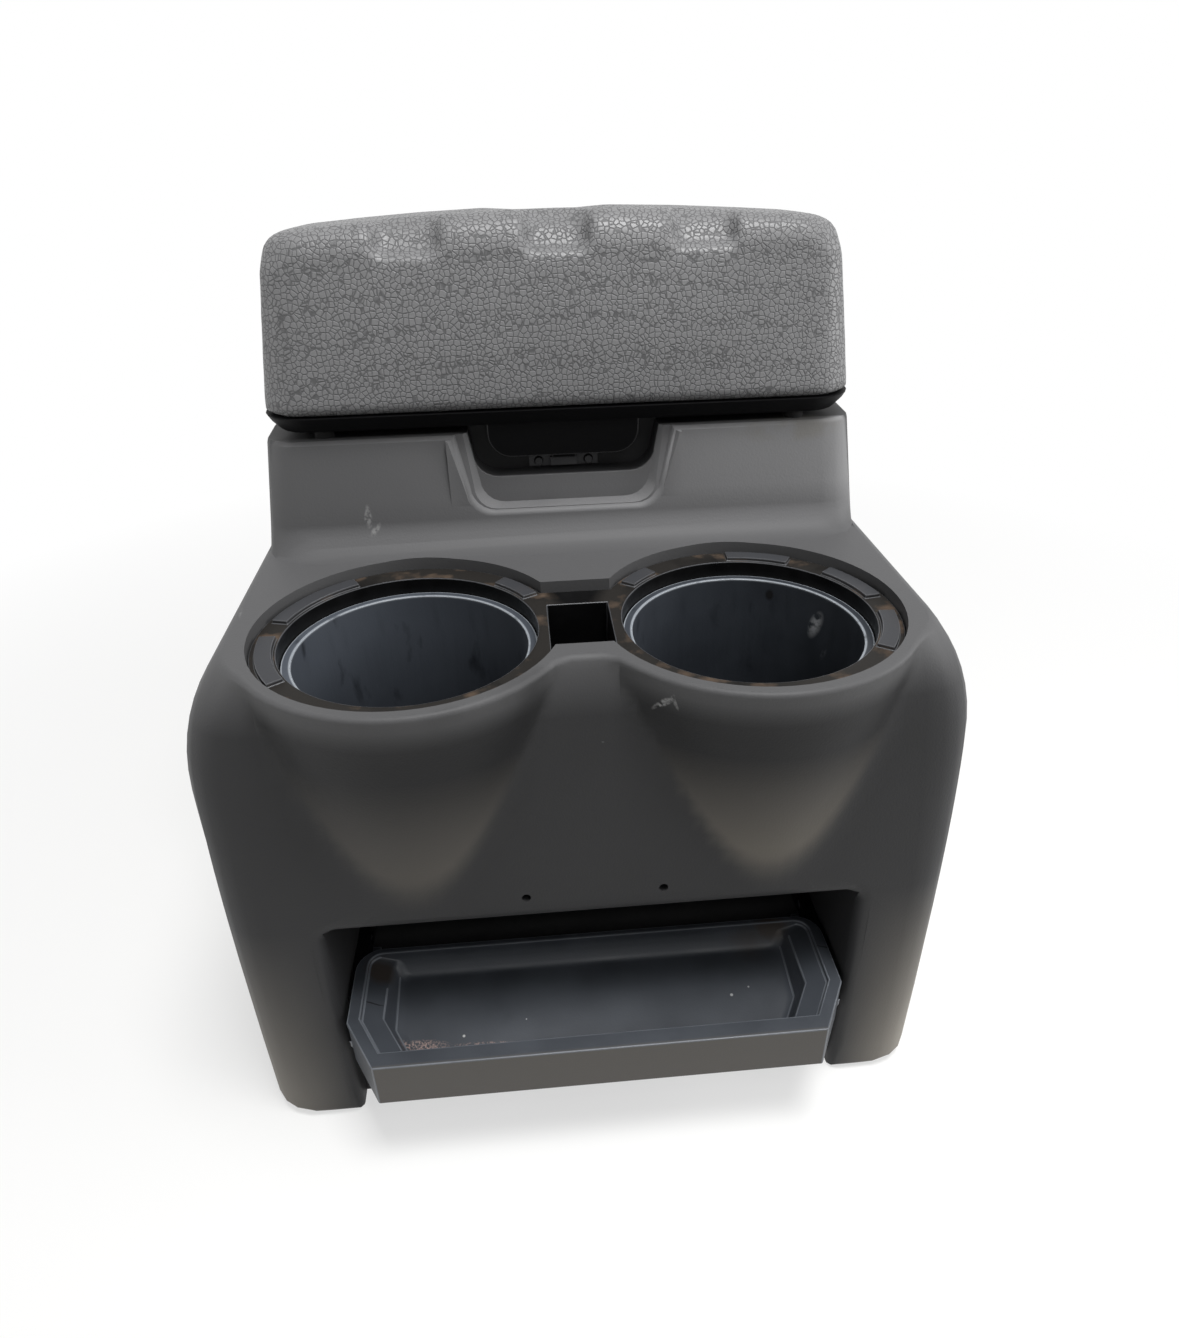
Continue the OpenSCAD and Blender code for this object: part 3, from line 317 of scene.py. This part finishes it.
# Same polypropylene in the tray: dust on its front, fluff in the corner of the basin, stains and cracks
def trayMaterial():
    plastic = mouldedPlastic("mouldedTrayPolypropylene", {
        "dark": "#33363b", "light": "#3f4349", "driftMm": 18, "rough": (0.38, 0.5), "sheen": 0.35,
        "grainMm": 0.9, "grainStrength": 0.16})
    overlays = {
        "dust": {"colour": "#4e4a45", "frontY": (-197.5, -199)},
        "stain": {"colour": "#33291f", "spots": [
            ((-91, -150, 60), (0, 0, 0), (8, 8, 8), 0.7),
            ((80, -145, 59), (0, 0, 0), (9, 8, 8), 0.7),
            ((70, -150, 56), (0, 0, 0), (14, 10, 8), 0.4)]},
        "crack": {"colour": "#0d0d0e", "spots": [
            ((-92, -166.4, 60), (0, 0, -12), (6.5, 0.45, 6), 1.0),
            ((101, -159.2, 60), (0, 0, -20), (6.5, 0.45, 6), 1.0)]},
        "fluff": {"colour": "#94807a", "spots": [
            ((-72, -179, 47), (0, 0, -4), (13, 3.4, 5), 1.0),
            ((-45, -180.5, 47), (0, 0, -3), (20, 1.6, 5), 0.8)]},
        "speck": {"colour": "#a9aaa9", "spots": [
            ((-56, -176, 46), (0, 0, 0), (0.7, 0.7, 5), 1.0),
            ((58, -168, 48), (0, 0, 0), (0.8, 0.8, 5), 1.0),
            ((66, -165, 48), (0, 0, 0), (0.5, 0.5, 5), 1.0),
            ((-30, -171, 48), (0, 0, 0), (0.4, 0.4, 5), 1.0)]},
    }
    tree, place = plastic["tree"], plastic["place"]
    front = rampMask(tree, place, "Y", overlays["dust"]["frontY"], (0, 0.85))
    fluff = spotMask(tree, place, overlays["fluff"]["spots"])
    return layOver(plastic, [
        (brokenUp(tree, place, front, 30, 0.15), overlays["dust"]["colour"], 0.55),
        (spotMask(tree, shaken(tree, place, 8, 5), overlays["stain"]["spots"]), overlays["stain"]["colour"], 0.6),
        (spotMask(tree, shaken(tree, place, 3, 1), overlays["crack"]["spots"]), overlays["crack"]["colour"], 0.7),
        (brokenUp(tree, place, fluff, 0.9, 0.46), overlays["fluff"]["colour"], 0.8),
        (spotMask(tree, place, overlays["speck"]["spots"]), overlays["speck"]["colour"], 0.6)])


# Black ABS carrier: glossy black, with raised grey lands and the tan glue of the lost trim ring
def carrierMaterial():
    plastic = mouldedPlastic("mouldedBlackAbs", {
        "dark": "#090909", "light": "#0f0f10", "driftMm": 9, "rough": (0.26, 0.42), "sheen": 0.14,
        "grainMm": 0.9, "grainStrength": 0.12})
    overlays = {"flangeHeight": (210.2, 210.45), "flangeRings": [(51.5, 9)], "landHeight": (211.0, 211.5),
            "dust": "#211f1d", "glue": "#52453a", "land": "#3a3b3e"}
    tree, place = plastic["tree"], plastic["place"]
    flange = together(tree, rampMask(tree, place, "Z", overlays["flangeHeight"]),
                      ringMask(tree, place, overlays["flangeRings"]))
    return layOver(plastic, [
        (brokenUp(tree, place, flange, 26, 0.3), overlays["dust"], 0.6),
        (brokenUp(tree, place, flange, 11, 0.54), overlays["glue"], 0.7),
        (rampMask(tree, place, "Z", overlays["landHeight"], (0, 0.95)), overlays["land"], 0.45)])


# Worn moulded edge: the same plastic rubbed paler and smoother where hands and cups slide over it, with a
# painted highlight that makes it paler still
def wornEdgeWithPaintedHighlight(name, dark, light):
    plastic = mouldedPlastic(name, {"dark": dark, "light": light, "driftMm": 12, "rough": (0.34, 0.5),
                                    "sheen": 0.5, "grainMm": 0.9, "grainStrength": 0.1})
    return plastic["material"]


# Vinyl with an embossed pebble grain: pebbles catch the light on their glossier tops, and their creases are
# painted darker as shade
def vinylMaterial():
    # crease is the painted shade colour of the creases between pebbles
    look = {"dark": "#6c6c6d", "light": "#7a7a7b", "crease": "#4e4e4f", "driftMm": 45, "rough": (0.42, 0.56),
            "pebbleMm": 2.0, "randomness": 0.8, "creaseShare": 0.16, "wander": (5, 0.9),
            "poreMm": 0.6, "poreShare": 0.3, "reliefMm": 0.3, "relief": 0.5}
    material, tree, shader, place = newMaterial("embossedCharcoalVinyl",
                                                {"IOR": 1.5, "Specular IOR Level": 0.4})
    drift = addNode(tree, "ShaderNodeTexNoise", {"Scale": 1 / (look["driftMm"] * mm), "Detail": 4.0},
                    {"Vector": place})
    pebble = addNode(tree, "ShaderNodeTexVoronoi",
                     {"feature": "DISTANCE_TO_EDGE", "Scale": 1 / (look["pebbleMm"] * mm),
                      "Randomness": look["randomness"]}, {"Vector": shaken(tree, place, *look["wander"])})
    dome = addNode(tree, "ShaderNodeMapRange",
                   {"interpolation_type": "SMOOTHSTEP", "From Min": 0.0, "From Max": look["creaseShare"]},
                   {"Value": pebble.outputs["Distance"]})
    pores = addNode(tree, "ShaderNodeTexNoise", {"Scale": 1 / (look["poreMm"] * mm), "Detail": 2.0},
                    {"Vector": place})
    height = addNode(tree, "ShaderNodeMath", {"operation": "MULTIPLY_ADD", 1: look["poreShare"]},
                     {0: pores.outputs["Fac"], 2: dome.outputs[0]})
    tone = addNode(tree, "ShaderNodeMix",
                   {"data_type": "RGBA", 6: linear(look["dark"]), 7: linear(look["light"])},
                   {0: drift.outputs["Fac"]})
    # painted shade: the creases between pebbles are drawn darker
    creased = addNode(tree, "ShaderNodeMix", {"data_type": "RGBA", 6: linear(look["crease"])},
                      {0: dome.outputs[0], 7: tone.outputs[2]})
    smoothest, roughest = look["rough"]
    gloss = addNode(tree, "ShaderNodeMapRange", {"To Min": roughest, "To Max": smoothest},
                    {"Value": dome.outputs[0]})
    bump = addNode(tree, "ShaderNodeBump", {"Strength": look["relief"], "Distance": look["reliefMm"] * mm},
                   {"Height": height.outputs[0]})
    tree.links.new(creased.outputs[2], shader.inputs["Base Color"])
    tree.links.new(gloss.outputs[0], shader.inputs["Roughness"])
    tree.links.new(bump.outputs[0], shader.inputs["Normal"])
    return material


# Bare, plated and coated metals: rolled or drawn, so their gloss drifts in short streaks
def metalMaterial(name, metallic, dark, light, driftMm, rough):
    material, tree, shader, place = newMaterial(name, {"Metallic": metallic})
    drawn = addNode(tree, "ShaderNodeMapping", {"Scale": (0.25, 1, 1)}, {"Vector": place})
    drift = addNode(tree, "ShaderNodeTexNoise", {"Scale": 1 / (driftMm * mm), "Detail": 5.0},
                    {"Vector": drawn.outputs[0]})
    tone = addNode(tree, "ShaderNodeMix", {"data_type": "RGBA", 6: linear(dark), 7: linear(light)},
                   {0: drift.outputs["Fac"]})
    gloss = addNode(tree, "ShaderNodeMapRange", {"To Min": rough[0], "To Max": rough[1]},
                    {"Value": drift.outputs["Fac"]})
    bump = addNode(tree, "ShaderNodeBump", {"Strength": 0.15, "Distance": 0.05 * mm},
                   {"Height": drift.outputs["Fac"]})
    tree.links.new(tone.outputs[2], shader.inputs["Base Color"])
    tree.links.new(gloss.outputs[0], shader.inputs["Roughness"])
    tree.links.new(bump.outputs[0], shader.inputs["Normal"])
    return material


blackGrain = {"dark": "#0a0a0b", "light": "#101011", "driftMm": 40, "rough": (0.45, 0.58), "sheen": 0.07,
              "grainMm": 0.9, "grainStrength": 0.2}
rubberLook = {"dark": "#111111", "light": "#181818", "driftMm": 6, "rough": (0.75, 0.9), "sheen": 0.3,
              "grainMm": 0.5, "grainStrength": 0.1}
materials = {
    "shell": shellMaterial(),
    "cup": cupMaterial(),
    "tray": trayMaterial(),
    # edge materials: rubbed wear with a painted highlight, for the softened edges
    "trayEdge": wornEdgeWithPaintedHighlight("rubbedTrayEdgeWithPaintedHighlight", "#44484e", "#6c7076"),
    "carrier": carrierMaterial(),
    "carrierEdge": wornEdgeWithPaintedHighlight("rubbedCarrierEdgeWithPaintedHighlight", "#2e2f31", "#505154"),
    "black": mouldedPlastic("mouldedNearBlackAbs", blackGrain)["material"],
    "blackEdge": wornEdgeWithPaintedHighlight("rubbedBlackEdgeWithPaintedHighlight", "#1c1c1d", "#2e2e2f"),
    "rubber": mouldedPlastic("mouldedRubber", rubberLook)["material"],  # matt and nearly black
    "vinyl": vinylMaterial(),
    "zinc": metalMaterial("zincPlatedSteel", 1.0, "#8b8d90", "#a9abae", 3, (0.3, 0.5)),  # bright, streaky
    "ground": metalMaterial("groundSteel", 1.0, "#97999c", "#b2b4b7", 5, (0.2, 0.34)),  # brightest
    "primer": metalMaterial("greyPrimedSteel", 0.0, "#55585b", "#64676a", 30, (0.55, 0.7)),  # flat grey
    "blackCoat": metalMaterial("blackCoatedSteel", 0.0, "#1b1c1d", "#29292b", 20, (0.4, 0.55)),  # satin
    # zinc plate that is rougher and painted dark as shade, for steel that sits in the latch recess's shadow
    "dulled": metalMaterial("dulledZincPlateInPaintedShade", 1.0, "#2c2c2d", "#4b4b4c", 4, (0.45, 0.65)),  # greyed, dim
}
print("materials ready:", len(materials))


def selectOnly(obj):
    bpy.ops.object.select_all(action="DESELECT")
    bpy.context.view_layer.objects.active = obj
    obj.select_set(True)


def applyModifier(obj, kind, settings):
    modifier = obj.modifiers.new(kind.lower(), kind)
    for name, value in settings.items():
        setattr(modifier, name, value)
    bpy.ops.object.modifier_apply(modifier=modifier.name)


# Copies a CAD node into a piece of its own: its loose triangles are merged and its flat faces joined
def copyNode(nodeName, pieceName, pieceMaterials):
    mesh = {"mergeMm": 0.01, "flatDegrees": 0.3}
    piece = bpy.data.objects.new(pieceName, frame["nodes"][nodeName].data.copy())
    bpy.context.scene.collection.objects.link(piece)
    selectOnly(piece)
    piece.data.materials.clear()
    for key in pieceMaterials:
        piece.data.materials.append(materials[key])
    bpy.ops.mesh.customdata_custom_splitnormals_clear()
    bpy.ops.object.mode_set(mode="EDIT")
    bpy.ops.mesh.select_all(action="SELECT")
    bpy.ops.mesh.remove_doubles(threshold=mesh["mergeMm"] * mm)
    bpy.ops.mesh.dissolve_limited(angle_limit=radians(mesh["flatDegrees"]))
    bpy.ops.object.mode_set(mode="OBJECT")
    return piece


# Sets a finished piece in its node's place, on its body, and hides the node
def standFor(piece, nodeName):
    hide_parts(nodeName)
    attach(piece, bodyOf[nodeName])


# Moulded pieces. Each has its name, its materials, of which the last is for its softened edges, how wide
# those edges are in millimetres, and up to which angle in degrees it shades smooth.
def makeMouldings():
    mouldings = {
        "console_shell": ("consoleShell", ["shell"], 0, 32),
        "cup_carrier": ("cupCarrier", ["carrier", "carrierEdge"], 0.35, 35),
        "cup_liner_left": ("leftCupLiner", ["cup"], 0, 50),
        "cup_liner_right": ("rightCupLiner", ["cup"], 0, 50),
        "storage_tray": ("coinTray", ["tray", "trayEdge"], 0.55, 35),
        "storage_bin": ("storageBin", ["black"], 0.5, 35),
        "lid_pan": ("lidPan", ["black"], 0.4, 35),
        "latch_paddle": ("latchPaddle", ["black", "blackEdge"], 0.5, 35),
    }
    sharpDegrees = 38  # an edge that turns more than this is softened
    for nodeName, (pieceName, pieceMaterials, edgeMm, smoothDegrees) in mouldings.items():
        piece = copyNode(nodeName, pieceName, pieceMaterials)
        if edgeMm:
            applyModifier(piece, "BEVEL", {"width": edgeMm * mm, "segments": 2, "limit_method": "ANGLE",
                                           "angle_limit": radians(sharpDegrees), "use_clamp_overlap": False,
                                           "material": len(pieceMaterials) - 1})
        bpy.ops.object.shade_smooth_by_angle(angle=radians(smoothDegrees))
        applyModifier(piece, "WEIGHTED_NORMAL", {"keep_sharp": True})
        standFor(piece, nodeName)
        print(pieceName, len(piece.data.polygons), "faces")


# Armrest pad: firm moulded foam under stretched vinyl, with a full front and soft notches over its top edge
def makeArmrestPad():
    pad = {"voxelMm": 2.2, "smoothing": 3, "fullnessMm": 1.6, "fill": 0.9, "sideFrom": 0.88, "endFrom": 0.9}
    piece = copyNode("armrest_pad", "armrestPad", ["vinyl"])
    applyModifier(piece, "REMESH", {"mode": "VOXEL", "voxel_size": pad["voxelMm"] * mm, "adaptivity": 0})
    applyModifier(piece, "SMOOTH", {"factor": 0.5, "iterations": pad["smoothing"]})
    low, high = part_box("armrest_pad")
    middle = (Vector(low) + Vector(high)) / 2
    half = (Vector(high) - Vector(low)) / 2
    for vertex in piece.data.vertices:  # the walls swell most at their middle, and the core's hollow stays
        offset = vertex.co - middle
        across = [offset[i] / half[i] for i in range(3)]
        if abs(across[0]) > pad["sideFrom"] or abs(across[1]) > pad["endFrom"]:
            swell = max(0, 1 - across[2] ** 2) * max(0, 1 - min(abs(across[0]), abs(across[1])) ** 2)
            sideways = abs(across[0]) > abs(across[1])
            direction = Vector((offset.x, 0, 0)) if sideways else Vector((0, offset.y, 0))
            vertex.co += direction.normalized() * pad["fullnessMm"] * mm * swell
    bpy.ops.object.shade_smooth()
    standFor(piece, "armrest_pad")
    print("armrestPad", len(piece.data.polygons), "faces")


# CAD nodes whose shape is right keep it and take a finish; screws and what isn't listed are zinc plated
def finishNodes():
    finishes = {
        "black": ["tray_rail_left", "tray_rail_right", "lid_core"],
        "rubber": ["bumper_left", "bumper_right"],
        "blackCoat": ["hinge_base", "hinge_arm"],
        "ground": ["hinge_pin", "latch_pin", "latch_spring"],
        # the striker and its screws take zinc plate painted dark as shade
        "dulled": ["latch_striker", "striker_screws"],
        "primer": ["floor_bracket_front", "floor_bracket_rear"],
    }
    finishOf = {nodeName: finish for finish, nodeNames in finishes.items() for nodeName in nodeNames}
    for nodeName, node in frame["nodes"].items():
        if not node.hide_render:
            node.data.materials.clear()
            node.data.materials.append(materials[finishOf.get(nodeName, "zinc")])
    print("nodes finished")


# The photograph's viewpoint: a phone held above and in front of the cups
def makeCamera():
    view = {"placeMm": (-18.4, -418, 368.7), "yaw": -4.23, "pitch": 31.56, "roll": -1.29, "lens": 24.215}
    cameraData = bpy.data.cameras.new("viewpoint")
    cameraData.lens = view["lens"]
    cameraData.clip_start = 0.01
    camera = bpy.data.objects.new("viewpoint", cameraData)
    bpy.context.scene.collection.objects.link(camera)
    turn = (Matrix.Rotation(radians(view["yaw"]), 4, "Z")
            @ Matrix.Rotation(pi / 2 - radians(view["pitch"]), 4, "X")
            @ Matrix.Rotation(radians(view["roll"]), 4, "Z"))
    camera.matrix_world = Matrix.Translation(Vector(view["placeMm"]) * mm) @ turn
    bpy.context.scene.camera = camera
    print("camera ready")


# Mask that is 1 for rays from the camera, or that gloss or glass sends on, so that they see white
def backgroundRays(tree):
    seen = addNode(tree, "ShaderNodeLightPath")
    mask = seen.outputs["Is Camera Ray"]
    for name in ("Is Glossy Ray", "Is Transmission Ray"):
        mask = either(tree, mask, seen.outputs[name])
    return mask


# Plain studio: a pale floor that fades into a white surround, and soft lamps from overhead and both sides.
# Lengths are in metres. A lamp has its name, place, size, power and what it points at.
def makeStudio():
    studio = {"floorSize": 12, "floorColour": "#eeeeec", "fade": (0.25, 0.7), "nearWhite": 0.6,
              "ambient": 0.05,
              "lamps": [("overhead", (0.2, -0.37, 1.5), 0.5, 22, (0, -0.05, 0.2)),
                        ("rightSide", (1.5, -0.3, 0.6), 0.8, 12, (0, 0, 0.1)),
                        ("leftSide", (-1.5, -0.3, 0.6), 0.8, 4, (0, 0, 0.1)),
                        ("front", (0.4, -1.2, 1.5), 0.7, 4, (0, 0, 0.3))]}
    bpy.ops.object.select_all(action="DESELECT")
    bpy.ops.mesh.primitive_plane_add(size=studio["floorSize"], location=(0, 0, 0))
    floor = bpy.context.object
    floor.name = "studioFloor"
    material, tree, shader, place = newMaterial(
        "paleFloor", {"Roughness": 0.9, "Base Color": linear(studio["floorColour"])})
    white = addNode(tree, "ShaderNodeEmission", {"Strength": 1.0})
    away = addNode(tree, "ShaderNodeVectorMath", {"operation": "LENGTH"}, {0: place})
    fadeOut = addNode(tree, "ShaderNodeMapRange",
                      {"From Min": studio["fade"][0], "From Max": studio["fade"][1],
                       "To Min": studio["nearWhite"], "To Max": 1.0}, {"Value": away.outputs["Value"]})
    share = together(tree, backgroundRays(tree), fadeOut.outputs[0])
    both = addNode(tree, "ShaderNodeMixShader", links={0: share, 1: shader.outputs[0], 2: white.outputs[0]})
    out = next(node for node in tree.nodes if node.type == "OUTPUT_MATERIAL")
    tree.links.new(both.outputs[0], out.inputs["Surface"])
    floor.data.materials.append(material)
    world = bpy.data.worlds.new("studio")
    bpy.context.scene.world = world
    world.use_nodes = True
    tree = world.node_tree
    tree.nodes.clear()
    strength = addNode(tree, "ShaderNodeMapRange", {"To Min": studio["ambient"], "To Max": 1.0},
                       {"Value": backgroundRays(tree)})
    sky = addNode(tree, "ShaderNodeBackground", {"Color": (1, 1, 1, 1)}, {"Strength": strength.outputs[0]})
    addNode(tree, "ShaderNodeOutputWorld", links={"Surface": sky.outputs[0]})
    for name, place, size, power, target in studio["lamps"]:
        lampData = bpy.data.lights.new(name, "AREA")
        lampData.size = size
        lampData.energy = power
        lamp = bpy.data.objects.new(name, lampData)
        bpy.context.scene.collection.objects.link(lamp)
        lamp.location = place
        lamp.rotation_euler = (Vector(place) - Vector(target)).to_track_quat("Z", "Y").to_euler()
    print("studio ready")


makeCamera()
makeMouldings()
makeArmrestPad()
finishNodes()
makeStudio()
bpy.context.scene.view_settings.view_transform = "Standard"
print("scene ready")
